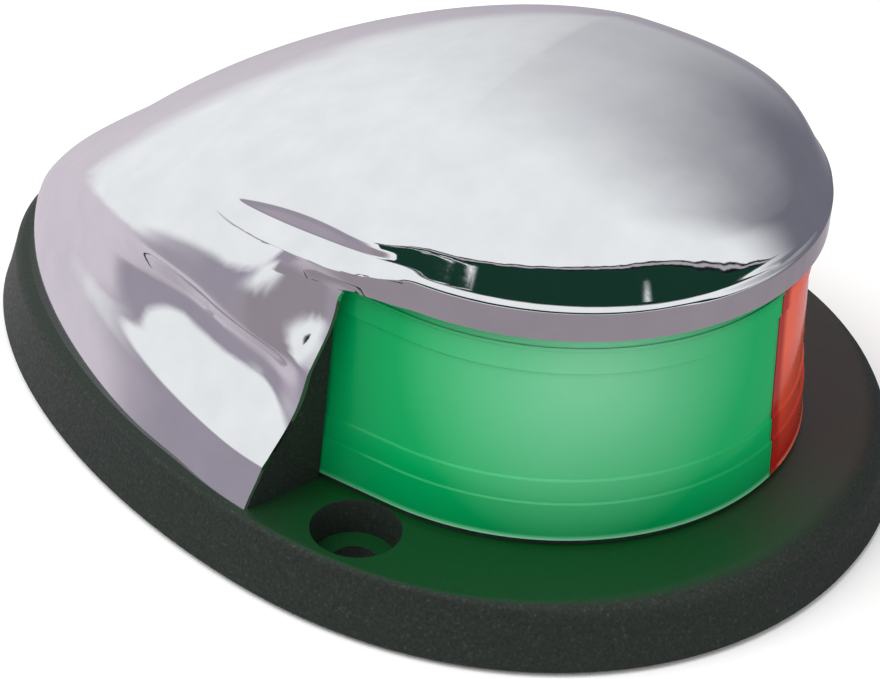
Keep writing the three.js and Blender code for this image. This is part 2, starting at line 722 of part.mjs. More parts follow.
place("base", "plastic_black", base());
place("mounting_gasket", "seal_rubber", mountingGasket());
place("cover", "chrome", cover());
place("cover_seal", "seal_rubber", coverSeal());
place("lens_green", "lens_green", lensHalf(-1));
place("lens_red", "lens_red", lensHalf(1));
place("lens_seal_green", "seal_rubber", lensSeal(-1));
place("lens_seal_red", "seal_rubber", lensSeal(1));
place("sector_baffle", "plastic_black", sectorBaffle());
place("lamp_glass", "lamp_glass", lampGlass());
place("lamp_cap_lower", "nickel", lampCap(false));
place("lamp_cap_upper", "nickel", lampCap(true));
place("lamp_filament", "steel", lampFilament());
place("contact_lower", "brass", contact(LAMP.bottom - 3.95, false));
place("contact_upper", "brass", contact(LAMP.top + 3.95, true));
place("rivet_lower", "steel", rivet(LAMP.bottom + 1.6));
place("rivet_upper", "steel", rivet(LAMP.top - 1.6));
place("lead_positive", "wire_red", lead(1));
place("lead_negative", "wire_black", lead(-1));
place("terminal_positive", "nickel", terminal(1));
place("terminal_negative", "nickel", terminal(-1));
place("grommet", "seal_rubber", grommet());
for (const [suffix, side] of [["port", 1], ["starboard", -1]]) {
  place(`cover_screw_${suffix}`, "steel", coverScrew(side));
  place(`screw_washer_${suffix}`, "steel", screwWasher(side));
}

export default part;
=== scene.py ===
"""Looks for the boat bow navigation light: chromed cover, green and red lens, black base."""

import math

import bmesh
import bpy
import numpy as np
from mathutils import Matrix, Vector


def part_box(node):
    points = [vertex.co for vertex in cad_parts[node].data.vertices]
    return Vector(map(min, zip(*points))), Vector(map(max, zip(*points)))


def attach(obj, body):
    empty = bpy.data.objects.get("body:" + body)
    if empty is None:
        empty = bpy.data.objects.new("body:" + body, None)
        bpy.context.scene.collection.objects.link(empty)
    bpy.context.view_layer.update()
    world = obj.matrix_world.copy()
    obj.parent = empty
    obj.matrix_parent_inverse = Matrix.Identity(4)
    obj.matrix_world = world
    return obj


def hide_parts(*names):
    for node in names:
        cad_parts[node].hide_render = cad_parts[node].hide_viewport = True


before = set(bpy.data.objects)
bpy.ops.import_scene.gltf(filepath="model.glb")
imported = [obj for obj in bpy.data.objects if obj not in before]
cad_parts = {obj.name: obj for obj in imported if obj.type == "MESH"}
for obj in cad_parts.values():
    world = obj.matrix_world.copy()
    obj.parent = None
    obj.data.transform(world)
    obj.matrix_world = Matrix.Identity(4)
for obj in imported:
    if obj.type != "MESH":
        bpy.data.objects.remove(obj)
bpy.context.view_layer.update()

MM = 0.001

# ---- places taken from the frame ---------------------------------------------------------
BASE_LOW, BASE_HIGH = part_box("base")
COVER_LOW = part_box("cover")[0]
GLASS_LOW, GLASS_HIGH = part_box("lamp_glass")
LENS_LOW, LENS_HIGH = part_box("lens_green")
LENS_X = (GLASS_LOW[0] + GLASS_HIGH[0]) / 2  # the lamp stands on the lens axis
FLANGE_TOP = COVER_LOW[2]  # the cover stands on the flange
LENS_TOP = LENS_HIGH[2]
LENS_FOOT = LENS_LOW[2]

# ---- egg outline of the base -------------------------------------------------------------
EGG_FRONT = 45.5 * MM  # widest point to the front end
EGG_FRONT_POWER = 2.1
EGG_AFT_POWER = 1.77
HALF_WIDTH = BASE_HIGH[1]
WIDEST_X = BASE_HIGH[0] - EGG_FRONT
EGG_AFT = WIDEST_X - BASE_LOW[0]
FLANGE_DRAFT = 2.0 * MM  # how far the side wall leans in
FLANGE_FOOT = 0.45 * MM  # small rounding round the underside
FLANGE_EDGE = 0.9 * MM  # rounded top edge at the sides and the tail
FLANGE_EDGE_GAIN = 2.6 * MM  # and how much rounder it gets at the front

# ---- cover shape -------------------------------------------------------------------------
# Bearings are in degrees about the highest point of the dome, from dead ahead round to the tail.
SKIRT_INSET = 4.1 * MM
SKIRT_SLOPE = 0.22
SKIRT_TOP = 13 * MM
SKIRT_TAIL_RISE = 4 * MM  # the skirt grows taller toward the tail
COVER_WALL = 2.0 * MM
DOME_X = 12.2 * MM
DOME_HEIGHT = 41.1 * MM
DOME_AFT = 65.5 * MM
DOME_AFT_POWER = 1.39
DOME_FRONT = 40.3 * MM
DOME_FRONT_POWER = 3.1
DOME_WIDEST_X = 8.4 * MM
DOME_HALF_WIDTH = 41.0 * MM
DOME_SIDE_FRONT = 37.4 * MM
DOME_SIDE_POWER = 2.47
SECTION_POWER = 2.41
SECTION_GAIN = 0.36
SCOOP_TOP = 23 * MM  # upper edge of the lower scoop
SCOOP_TAIL_RISE = 4.5 * MM
SCOOP_DEPTH = 2.2 * MM
RIDGE_ROLL = 1.8 * MM  # how far the ridge over the scoop swells out
CREST = 37.5 * MM  # top of the bead, foot of the crown face
CREST_TAIL_DROP = 2.4 * MM
BEAD_RADIUS = 30.2 * MM
BEAD_FOOT = 33.4 * MM
BEAD_FADE = 60 * MM  # how far the bead sinks into the tail
WALL_SLOPE = 0.447  # lean of the side wall above the skirt
NECK_INSET = 12.9 * MM  # the side wall is never further in than this
VISOR_EDGE = 34.0 * MM  # lower edge of the visor over the lens
EDGE_SLOPE = 0.482  # plan slope of the cover's leading edges
EDGE_SET_BACK = 11.6 * MM  # leading edge behind the lens axis, where it is EDGE_REACH out
EDGE_REACH = 39 * MM
CORNER_RADIUS = 2.5 * MM
BOSS_RADIUS = 4 * MM  # screw bosses under the roof
BOSS_FOOT = 9.5 * MM
BOSS_BORE = 1.9 * MM
BOSS_BORE_TOP = 22.5 * MM

# ---- lens --------------------------------------------------------------------------------
LENS_RADIUS = 30.4 * MM
LENS_TOP_RADIUS = 28.9 * MM
LENS_WALL = 2.2 * MM
LENS_LIP = 1.6 * MM  # inward step of the top edge
LENS_LIP_DEPTH = 1.4 * MM
LENS_SWEEP = math.radians(110)
SEAM_HALF_GAP = 0.12 * MM
POCKET_GAP = 0.25 * MM  # clearance cut round the lenses
POCKET_OVERSWEEP = math.radians(0.6)
# Height, and how far the face stands out from a plain cone there, in millimetres: shallow
# bands parted by the moulded ring lines.
LENS_BANDS = (
    (12.9, 0.0),
    (13.05, -0.22),
    (13.45, -0.22),
    (15.7, -0.22),
    (15.9, -0.42),
    (28.9, -0.42),
    (29.15, -0.16),
    (29.6, -0.16),
    (31.7, -0.16),
    (31.95, 0.05),
    (32.3, 0.05),
)

# ---- base features -----------------------------------------------------------------------
RECESS_X = 15.35 * MM
RECESS_Y = 35.3 * MM
RECESS_RADIUS = 4.9 * MM
RECESS_DEPTH = 4.4 * MM
DRILL_RADIUS = 2.5 * MM
WELL_X = 6 * MM  # wiring space under the floor
WELL_HALF_LENGTH = 26 * MM
WELL_HALF_WIDTH = 19 * MM
WELL_ROOF = 4.2 * MM
LEAD_HOLE_RADIUS = 4.6 * MM
SCREW_HEAD_RADIUS = 4.5 * MM  # counterbore for each cover screw
SCREW_HEAD_DEPTH = 3.2 * MM
SCREW_SHANK_RADIUS = 2 * MM
GROOVE_OUTER = 2.2 * MM  # gasket groove, in from the base outline
GROOVE_INNER = 4.6 * MM
GROOVE_DEPTH = 1.5 * MM
SHIELD_RADIUS = 26.6 * MM  # round wall behind the lamp
SHIELD_WALL = 2 * MM
SHIELD_TOP = 32.6 * MM
SHIELD_START = 104  # degrees from dead ahead
SHIELD_SWEEP = 152
WING_SLOPE = 0.30
WING_INNER_Y = 24 * MM
WING_TOP = 33.5 * MM
WING_SINK = 0.4 * MM  # how far the wings' feet go into the flange
WING_DEPTH = 0.55 * MM  # the wings' edges stand this far under the cover's outside
WING_SHEETS = (0, 1.4 * MM, 2.8 * MM)
REBATE_DEPTH = 0.4 * MM
REBATE_SHEETS = (-6 * MM, 0, 1.5 * MM, 3 * MM)
POST_TOP = 35.5 * MM
POST_THICK = 3 * MM
POST_HALF_WIDTH = 4.5 * MM
POST_GAP = 0.05 * MM
BELOW = 1 * MM  # cutting tools start this far under the base
ABOVE = 12 * MM  # and end above the floor

# ---- camera and light --------------------------------------------------------------------
CAMERA_AIM = (8.2 * MM, -9.1 * MM, 15 * MM)
CAMERA_DISTANCE = 330.8 * MM
CAMERA_AZIMUTH = -58.65  # degrees
CAMERA_ELEVATION = 34.36
CAMERA_ROLL = math.radians(4.08)
FLOOR_GAP = 0.2 * MM  # keeps the floor clear of the underside
SOFTBOX_PLACE = (-0.25, -0.35, 0.7)
SOFTBOX_SIDE = 0.6
SOFTBOX_WATTS = 4
CAMERA_LENS = 120.0  # millimetres on a 36 mm sensor
CAMERA_SENSOR = 36


# ---- mesh helpers ------------------------------------------------------------------------
def new_object(name, vertices, faces, body, slot, material):
    mesh = bpy.data.meshes.new(name)
    mesh.from_pydata([tuple(v) for v in vertices], [], faces)
    mesh.validate()
    piece = bpy.data.objects.new(name, mesh)
    bpy.context.scene.collection.objects.link(piece)
    fix_normals(mesh)
    piece.data.materials.append(material)
    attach(piece, body)
    return piece


def fix_normals(mesh):
    bm = bmesh.new()
    bm.from_mesh(mesh)
    bmesh.ops.recalc_face_normals(bm, faces=bm.faces)
    bm.to_mesh(mesh)
    bm.free()


def shade(piece, crease_degrees):
    """Smooth shading, kept sharp where faces meet at more than the crease angle."""
    bm = bmesh.new()
    bm.from_mesh(piece.data)
    limit = math.radians(crease_degrees)
    for face in bm.faces:
        face.smooth = True
    for edge in bm.edges:
        angle = edge.calc_face_angle(0) if len(edge.link_faces) == 2 else 0
        edge.smooth = angle < limit
    bm.to_mesh(piece.data)
    bm.free()


def helper(name, vertices, faces):
    """A closed mesh used as a cutting tool."""
    mesh = bpy.data.meshes.new(name)
    mesh.from_pydata([tuple(v) for v in vertices], [], faces)
    fix_normals(mesh)
    tool = bpy.data.objects.new(name, mesh)
    bpy.context.scene.collection.objects.link(tool)
    return tool


def cut(piece, tool):
    """Cuts the tool out of the piece and throws the tool away."""
    modifier = piece.modifiers.new("cut", "BOOLEAN")
    modifier.operation = "DIFFERENCE"
    modifier.solver = "MANIFOLD"
    modifier.object = tool
    depsgraph = bpy.context.evaluated_depsgraph_get()
    result = bpy.data.meshes.new_from_object(piece.evaluated_get(depsgraph))
    piece.modifiers.remove(modifier)
    old = piece.data
    materials = list(old.materials)
    piece.data = result
    piece.data.materials.clear()
    for material in materials:
        piece.data.materials.append(material)
    for polygon in piece.data.polygons:
        polygon.material_index = 0
    bpy.data.meshes.remove(old)
    bpy.data.objects.remove(tool)


def ring_faces(rings, count):
    """Faces that join each closed ring of points to the next one."""
    faces = []
    for r in range(rings - 1):
        for i in range(count):
            a = r * count + i
            b = r * count + (i + 1) % count
            faces.append((a, b, b + count, a + count))
    return faces


def turned(outline, x, y, count=64):
    """Vertices and faces of a solid turned about a vertical axis; outline is (radius, height) rows."""
    vertices = []
    for radius, height in outline:
        for i in range(count):
            a = 2 * math.pi * i / count
            vertices.append((x + radius * math.cos(a), y + radius * math.sin(a), height))
    faces = ring_faces(len(outline), count)
    faces.append(tuple(reversed(range(count))))
    faces.append(tuple((len(outline) - 1) * count + i for i in range(count)))
    return vertices, faces


def middle_of(node):
    """Plan position of the middle of a node's box."""
    low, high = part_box(node)
    return (low[0] + high[0]) / 2, (low[1] + high[1]) / 2


# ---- smooth functions --------------------------------------------------------------------
def smooth(start, end, value):
    t = np.clip((value - start) / (end - start), 0, 1)
    return t * t * (3 - 2 * t)


def soft_min(a, b, blend):
    h = np.clip(0.5 + 0.5 * (b - a) / blend, 0, 1)
    return b * (1 - h) + a * h - blend * h * (1 - h)


def soft_max(a, b, blend):
    return -soft_min(-a, -b, blend)


# ---- egg outline -------------------------------------------------------------------------
def egg_level(x, y, inset):
    """Below zero inside the outline drawn in by inset; about a distance."""
    dx = x - WIDEST_X
    aft = dx < 0
    length = np.where(aft, EGG_AFT, EGG_FRONT) - inset
    width = HALF_WIDTH - inset
    power = np.where(aft, EGG_AFT_POWER, EGG_FRONT_POWER)
    reach = (np.abs(dx) / length) ** power + (np.abs(y) / width) ** power
    return (reach ** (1 / power) - 1) * width


def egg_point(angle, inset):
    c = np.cos(angle)
    s = np.sin(angle)
    power = np.where(c < 0, EGG_AFT_POWER, EGG_FRONT_POWER)
    length = np.where(c < 0, EGG_AFT, EGG_FRONT) - inset
    x = WIDEST_X + np.sign(c) * length * np.abs(c) ** (2 / power)
    y = np.sign(s) * (HALF_WIDTH - inset) * np.abs(s) ** (2 / power)
    return x, y


# ---- cover surface -----------------------------------------------------------------------
SKY = 60 * MM  # a height above every part of the cover
UNDER_ROOF = 20 * MM  # a height inside the dome
OUT_OF_REACH = 75 * MM  # a radius outside the cover


def bearing_of(x, y):
    return np.degrees(np.arctan2(np.abs(y), x - DOME_X))


def skirt_top(bearing):
    return SKIRT_TOP + SKIRT_TAIL_RISE * smooth(102, 155, bearing)


def scoop_top(bearing):
    return SCOOP_TOP + SCOOP_TAIL_RISE * smooth(94, 125, bearing)


def crest_height(bearing):
    return CREST - CREST_TAIL_DROP * smooth(80, 127, bearing)


def dome_level(x, y, z):
    dx = x - DOME_X
    aft = dx < 0
    power = np.where(aft, DOME_AFT_POWER, DOME_FRONT_POWER)
    along = np.abs(dx) / np.where(aft, DOME_AFT, DOME_FRONT)
    height = DOME_HEIGHT * (1 - np.minimum(along, 0.9999) ** power) ** (1 / power)
    side = x - DOME_WIDEST_X
    side_length = np.where(side < 0, DOME_WIDEST_X - DOME_X + DOME_AFT, DOME_SIDE_FRONT)
    side_power = np.where(side < 0, 2, DOME_SIDE_POWER)
    across = np.abs(side) / side_length
    width = DOME_HALF_WIDTH * (1 - np.minimum(across, 0.9999) ** side_power) ** (1 / side_power)
    section = SECTION_POWER + np.where(aft, 0, SECTION_GAIN * along)
    q = (np.abs(y) / width) ** section + (np.maximum(z - FLANGE_TOP, 0) / height) ** section
    q = q ** (1 / section)
    return np.where((along >= 1) | (across >= 1), 20 * MM, (q - 1) * np.minimum(width, height))


def stadium_level(x, y):
    """Distance outside the lens axis ahead of it and outside the centre plane behind it."""
    return np.hypot(np.maximum(x - LENS_X, 0), y)


def wall_inset(bearing, z):
    """How far the side wall leans in from the base outline."""
    foot = skirt_top(bearing)
    slope = WALL_SLOPE - 0.13 * smooth(100, 120, bearing) - 0.2 * smooth(125, 160, bearing)
    start = SKIRT_INSET + SKIRT_SLOPE * (foot - FLANGE_TOP) + 1.2 * MM * smooth(110, 170, bearing)
    leaning = start + slope * (z - foot)
    neck = NECK_INSET - 1.2 * MM * smooth(100, 115, bearing)
    ridge = smooth(82, 98, bearing) * (1 - smooth(100, 112, bearing))
    release = 4 * np.maximum(0, z - crest_height(bearing) + 0.5 * MM)
    release = release + 0.65 * ridge * np.maximum(0, z - 33 * MM)
    up = np.clip((z - SCOOP_TOP) / (crest_height(bearing) - SCOOP_TOP), 0, 1)
    along_ridge = smooth(98, 112, bearing) * (1 - smooth(135, 160, bearing))
    roll = RIDGE_ROLL * along_ridge * 4 * up * (1 - up)
    return soft_min(leaning, neck, 1.5 * MM) - release - roll


def scoop_depth(bearing, z):
    """Lower scoop: a soft hollow between the skirt and the rolled ridge."""
    upper = scoop_top(bearing)
    foot = skirt_top(bearing) - 0.5 * MM
    share = np.clip((upper - z) / (upper - foot), 0, 1)
    fade = smooth(93, 110, bearing) * (1 - smooth(128, 144, bearing))
    return SCOOP_DEPTH * fade * 10 * share**1.4 * (1 - share) ** 2


def crown_face_radius(bearing, x, z):
    """Face under the crown: leans in ahead, opens to a cove over the ridge behind."""
    up = z - crest_height(bearing)
    cove = smooth(78, 92, bearing)
    narrowing = 0.16 * soft_max(10 * MM - x, 0, 3 * MM)
    floor = 2.7 * MM * cove * np.clip(1 - up / (1.1 * MM), 0, 1) ** 2
    face = BEAD_RADIUS - 0.2 * MM - narrowing + floor - (0.6 - 0.48 * cove) * np.maximum(up, 0)
    return face - 3 * smooth(84, 96, bearing) * np.minimum(up, 0)


def cover_level(x, y, z):
    bearing = bearing_of(x, y)
    rise = z - FLANGE_TOP
    wall = egg_level(x, y, wall_inset(bearing, z)) + scoop_depth(bearing, z)
    dome = soft_max(dome_level(x, y, z), wall, 1.5 * MM)
    crown = soft_max(dome, stadium_level(x, y) - crown_face_radius(bearing, x, z), 0.4 * MM)
    bead_slab = soft_max(z - crest_height(bearing), BEAD_FOOT - z, 0.3 * MM)
    bead_radius = BEAD_RADIUS - BEAD_FADE * smooth(94, 160, bearing)
    bead = soft_max(stadium_level(x, y) - bead_radius, bead_slab, 0.5 * MM)
    tail = smooth(110, 170, bearing)
    skirt_face = egg_level(x, y, SKIRT_INSET + SKIRT_SLOPE * rise)
    skirt = soft_max(skirt_face, z - skirt_top(bearing), (0.8 + 5 * tail) * MM)
    return soft_min(soft_min(crown, bead, 0.5 * MM), skirt, (0.6 + 3 * tail) * MM)


def follow_edges(height, bearing):
    """Slides a nominal height with the moulded edges, so rings of points stay on them."""
    nominal = (FLANGE_TOP, SKIRT_TOP, SCOOP_TOP, CREST, SKY)
    moulded = (FLANGE_TOP, skirt_top(bearing), scoop_top(bearing), crest_height(bearing), SKY)
    slid = height
    for k in range(len(nominal) - 1):
        share = (height - nominal[k]) / (nominal[k + 1] - nominal[k])
        between = moulded[k] + (moulded[k + 1] - moulded[k]) * share
        slid = np.where(height >= nominal[k], between, slid)
    return slid


def bisect(level, inside, outside):
    """Where level crosses zero between a value inside the surface and one outside it."""
    for _ in range(40):
        middle = (inside + outside) / 2
        out = level(middle) > 0
        outside = np.where(out, middle, outside)
        inside = np.where(out, inside, middle)
    return (inside + outside) / 2


def shell_rings(depth, heights, count, caps):
    """Rings of points on the surface lying depth under the outside of the cover."""
    angle = np.arange(count) * 2 * np.pi / count
    c, s = np.cos(angle), np.sin(angle)
    bearing = bearing_of(DOME_X + c, s)
    rings = []
    radius = None
    for height in heights:
        z = follow_edges(np.full(count, height), bearing)
        near, far = np.zeros(count), np.full(count, OUT_OF_REACH)
        radius = bisect(lambda r: cover_level(DOME_X + r * c, r * s, z) + depth, near, far)
        rings.append(np.stack([DOME_X + radius * c, radius * s, z], 1))
    for share in caps:
        x, y = DOME_X + share * radius * c, share * radius * s
        low, high = np.full(count, UNDER_ROOF), np.full(count, SKY)
        z = bisect(lambda h: cover_level(x, y, h) + depth, low, high)
        rings.append(np.stack([x, y, z], 1))
    top = bisect(lambda h: cover_level(DOME_X, 0.0, h) + depth, UNDER_ROOF, SKY)
    return rings, (DOME_X, 0.0, float(top))


def spaced(*runs):
    """Heights in evenly spaced runs: each run is (start, end, steps), in millimetres."""
    values = []
    for start, end, steps in runs:
        values += [start + (end - start) * i / steps for i in range(steps)]
    values.append(runs[-1][1])
    return [v * MM for v in values]


COUNT = 320  # points round the cover and the flange


def cover_mesh():
    """Outer and inner skins joined along the foot; rows crowd together at the moulded edges."""
    flange = FLANGE_TOP / MM
    side_runs = ((flange, 12, 5), (12, 14, 10), (14, 32.5, 40), (32.5, 38.2, 36))
    outer = spaced(*side_runs, (38.2, 43, 30), (43, 46.5, 12))
    inner = spaced((flange, 30, 14), (30, 43.5, 14))
    caps = [math.cos(math.pi / 2 * k / 16) for k in range(1, 16)]
    outer_rings, outer_top = shell_rings(0, outer, COUNT, caps)
    inner_rings, inner_top = shell_rings(COVER_WALL, inner, COUNT, caps[::3])
    rings = inner_rings[::-1] + outer_rings
    vertices = np.concatenate(rings).tolist()
    faces = ring_faces(len(rings), COUNT)
    first, last = len(vertices), len(vertices) + 1
    vertices += [inner_top, outer_top]
    end = (len(rings) - 1) * COUNT
    for i in range(COUNT):
        j = (i + 1) % COUNT
        faces.append((first, j, i))
        faces.append((last, end + i, end + j))
    return vertices, faces


def leading_edge_x(y):
    return LENS_X + (-EDGE_SET_BACK + EDGE_SLOPE * (EDGE_REACH - abs(y)))


def opening_tool(side):
    """Everything ahead of the cover's leading edge and under the visor."""
    along = Vector((-EDGE_SLOPE, side, 0)).normalized()
    ahead = Vector((side * along.y, -side * along.x, 0))
    beyond, under, past_middle = 90 * MM, -5 * MM, -70 * MM
    profile = [(0, under), (beyond, under), (beyond, VISOR_EDGE)]
    for k in range(13):
        a = math.pi / 2 + math.pi / 2 * k / 12
        u = CORNER_RADIUS + CORNER_RADIUS * math.cos(a)
        profile.append((u, VISOR_EDGE - CORNER_RADIUS + CORNER_RADIUS * math.sin(a)))
    origin = Vector((leading_edge_x(0), 0, 0))
    vertices = []
    for reach in (past_middle, beyond):
        for u, z in profile:
            vertices.append(origin + ahead * u + along * reach + Vector((0, 0, z)))
    n = len(profile)
    faces = [tuple(range(n)), tuple(reversed(range(n, 2 * n)))]
    faces += [(i, (i + 1) % n, n + (i + 1) % n, n + i) for i in range(n)]
    return helper("opening", vertices, faces)


def lens_plan(radius, angle):
    """Half circle about the lens axis, carried straight back along both flanks."""
    past = abs(angle) - math.pi / 2
    if past <= 0:
        return LENS_X + radius * math.cos(angle), radius * math.sin(angle)
    return LENS_X - past * LENS_RADIUS, math.copysign(radius, angle)


def arc_wall(rows, start, end, steps):
    """Wall between two radii about the lens axis; rows are (inner, outer, height)."""
    vertices = []
    per = len(rows) * 2
    for i in range(steps + 1):
        a = start + (end - start) * i / steps
        for inner, outer, z in rows:
            for r in (inner, outer):
                vertices.append((*lens_plan(r, a), z))
    faces = []
    for i in range(steps):
        p, n = i * per, (i + 1) * per
        for k in range(0, per - 2, 2):
            faces.append((p + k + 1, n + k + 1, n + k + 3, p + k + 3))
            faces.append((p + k, p + k + 2, n + k + 2, n + k))
        faces.append((p, n, n + 1, p + 1))
        faces.append((p + per - 2, p + per - 1, n + per - 1, n + per - 2))
    e = steps * per
    for k in range(0, per - 2, 2):
        faces.append((k, k + 1, k + 3, k + 2))
        faces.append((e + k, e + k + 2, e + k + 3, e + k + 1))
    return vertices, faces


def lens_pocket(top):
    """Room for both lens halves, as a tool that ends at the height top."""
    inner = LENS_TOP_RADIUS - LENS_WALL - LENS_LIP - POCKET_GAP
    outer_foot = LENS_RADIUS + POCKET_GAP
    outer_top = LENS_TOP_RADIUS + POCKET_GAP
    reach = LENS_SWEEP + POCKET_OVERSWEEP
    rows = [(inner, outer_foot, FLANGE_TOP - BELOW), (inner, outer_top, LENS_TOP), (inner, outer_top, top)]
    return helper("pocket", *arc_wall(rows, -reach, reach, 160))


# ---- node materials ----------------------------------------------------------------------
def direction(azimuth, elevation=0.0):
    a, e = math.radians(azimuth), math.radians(elevation)
    return math.cos(e) * math.cos(a), math.cos(e) * math.sin(a), math.sin(e)


class Graph:
    """Small wrapper that makes and links shader nodes."""

    def __init__(self, name):
        self.material = bpy.data.materials.new(name)
        self.material.use_nodes = True
        self.tree = self.material.node_tree
        self.bsdf = self.tree.nodes["Principled BSDF"]
        self.out = self.tree.nodes["Material Output"]

    def node(self, kind, **settings):
        node = self.tree.nodes.new(kind)
        for key, value in settings.items():
            setattr(node, key, value)
        return node

    def link(self, source, target):
        self.tree.links.new(source, target)

    def place(self):
        return self.node("ShaderNodeNewGeometry").outputs["Position"]

    def noise(self, scale, detail=3.0, roughness=0.5):
        node = self.node("ShaderNodeTexNoise")
        node.inputs["Scale"].default_value = scale
        node.inputs["Detail"].default_value = detail
        node.inputs["Roughness"].default_value = roughness
        coordinates = self.node("ShaderNodeTexCoord")
        self.link(coordinates.outputs["Object"], node.inputs["Vector"])
        return node.outputs["Fac"]

    def ramp(self, source, *stops):
        node = self.node("ShaderNodeValToRGB")
        elements = node.color_ramp.elements
        while len(elements) < len(stops):
            elements.new(0.5)
        for element, (at, colour) in zip(elements, stops):
            element.position = at
            element.color = (*colour, 1)
        self.link(source, node.inputs["Fac"])
        return node.outputs["Color"]

    def span(self, source, low, high, to_low, to_high):
        node = self.node("ShaderNodeMapRange")
        for key, value in (("From Min", low), ("From Max", high), ("To Min", to_low), ("To Max", to_high)):
            node.inputs[key].default_value = value
        self.link(source, node.inputs["Value"])
        return node.outputs["Result"]

    def mix(self, factor, a, b):
        node = self.node("ShaderNodeMix", data_type="RGBA")
        for socket, value in (("Factor", factor), ("A", a), ("B", b)):
            kind = "VALUE" if socket == "Factor" else "RGBA"
            target = [s for s in node.inputs if s.name == socket and s.type == kind][0]
            if isinstance(value, bpy.types.NodeSocket):
                self.link(value, target)
            elif socket == "Factor":
                target.default_value = value
            else:
                target.default_value = (*value, 1)
        return [o for o in node.outputs if o.type == "RGBA"][0]

    def maths(self, operation, a, b=0.0):
        node = self.node("ShaderNodeMath", operation=operation)
        for socket, value in zip(node.inputs, (a, b)):
            if isinstance(value, bpy.types.NodeSocket):
                self.link(value, socket)
            else:
                socket.default_value = value
        return node.outputs[0]

    def square(self, value):
        return self.maths("MULTIPLY", value, value)

    def split(self, vector):
        node = self.node("ShaderNodeSeparateXYZ")
        self.link(vector, node.inputs["Vector"])
        return node.outputs

    def bump(self, height, strength, distance):
        node = self.node("ShaderNodeBump")
        node.inputs["Strength"].default_value = strength
        node.inputs["Distance"].default_value = distance
        self.link(height, node.inputs["Height"])
        self.link(node.outputs["Normal"], self.bsdf.inputs["Normal"])

    def set(self, **values):
        """Sets or links inputs of the Principled BSDF, named with _ for each space."""
        for key, value in values.items():
            socket = self.bsdf.inputs[key.replace("_", " ")]
            if isinstance(value, bpy.types.NodeSocket):
                self.link(value, socket)
            elif isinstance(value, tuple):
                socket.default_value = (*value, 1)
            else:
                socket.default_value = value


def chrome_material():
    """Polished plating over a casting: faint waviness and the odd pit."""
    g = Graph("chrome")
    waves, pits = g.noise(45, 1), g.noise(2600, 1)
    g.set(
        Base_Color=g.ramp(g.noise(220, 3), (0.3, (0.86, 0.865, 0.885)), (0.75, (0.93, 0.93, 0.945))),
        Metallic=1.0,
        Roughness=g.span(pits, 0.3, 0.8, 0.025, 0.06),
    )
    g.bump(waves, 0.02, 0.4 * MM)
    return g.material


# Painted glow colours for the base top: the light through the green and the red lens half.
PAINTED_GREEN_GLOW = (0.003, 0.056, 0.012)
PAINTED_RED_GLOW = (0.036, 0.026, 0.021)
GRAIN_TIP = (0.08, 0.09, 0.08)


def moulded_black_material():
    """Black engineering plastic: fine grain on the sides, and a glossier top. Round the lens the
    top carries a painted green or brown glow, set by position, for the light through each half."""
    g = Graph("moulded_black")
    grain = g.noise(2600, 4, 0.65)
    facing = g.split(g.node("ShaderNodeNewGeometry").outputs["Normal"])
    flat = g.span(facing["Z"], 0.85, 0.98, 0, 1)
    place = g.split(g.place())
    ahead = g.maths("SUBTRACT", place["X"], LENS_X)
    reach = g.maths("SQRT", g.maths("ADD", g.square(ahead), g.square(place["Y"])))
    # Painted glow mask: strongest on the top next to the lens, fading outwards and aft.
    glow = g.maths("MULTIPLY", flat, g.span(reach, LENS_RADIUS, LENS_RADIUS + 17 * MM, 0.95, 0.45))
    glow = g.maths("MULTIPLY", glow, g.span(ahead, -16 * MM, -6 * MM, 0.15, 1))
    to_red = g.span(place["Y"], -14 * MM, 10 * MM, 0, 1)
    painted_glow_tint = g.ramp(to_red, (0.0, PAINTED_GREEN_GLOW), (1.0, PAINTED_RED_GLOW))
    side = g.ramp(grain, (0.35, (0.012, 0.017, 0.013)), (0.62, (0.020, 0.027, 0.021)), (0.8, GRAIN_TIP))
    top = g.ramp(grain, (0.35, (0.008, 0.012, 0.009)), (0.66, (0.013, 0.018, 0.014)), (0.76, GRAIN_TIP))
    rough = g.maths("MULTIPLY", g.span(grain, 0.3, 0.7, 0.6, 0.42), g.span(flat, 0, 1, 1, 0.7))
    g.set(
        Base_Color=g.mix(glow, g.mix(flat, side, top), painted_glow_tint),
        Roughness=rough,
        Specular_IOR_Level=0.3,
        Metallic=0.0,
    )
    g.bump(grain, 0.4, 0.12 * MM)
    return g.material


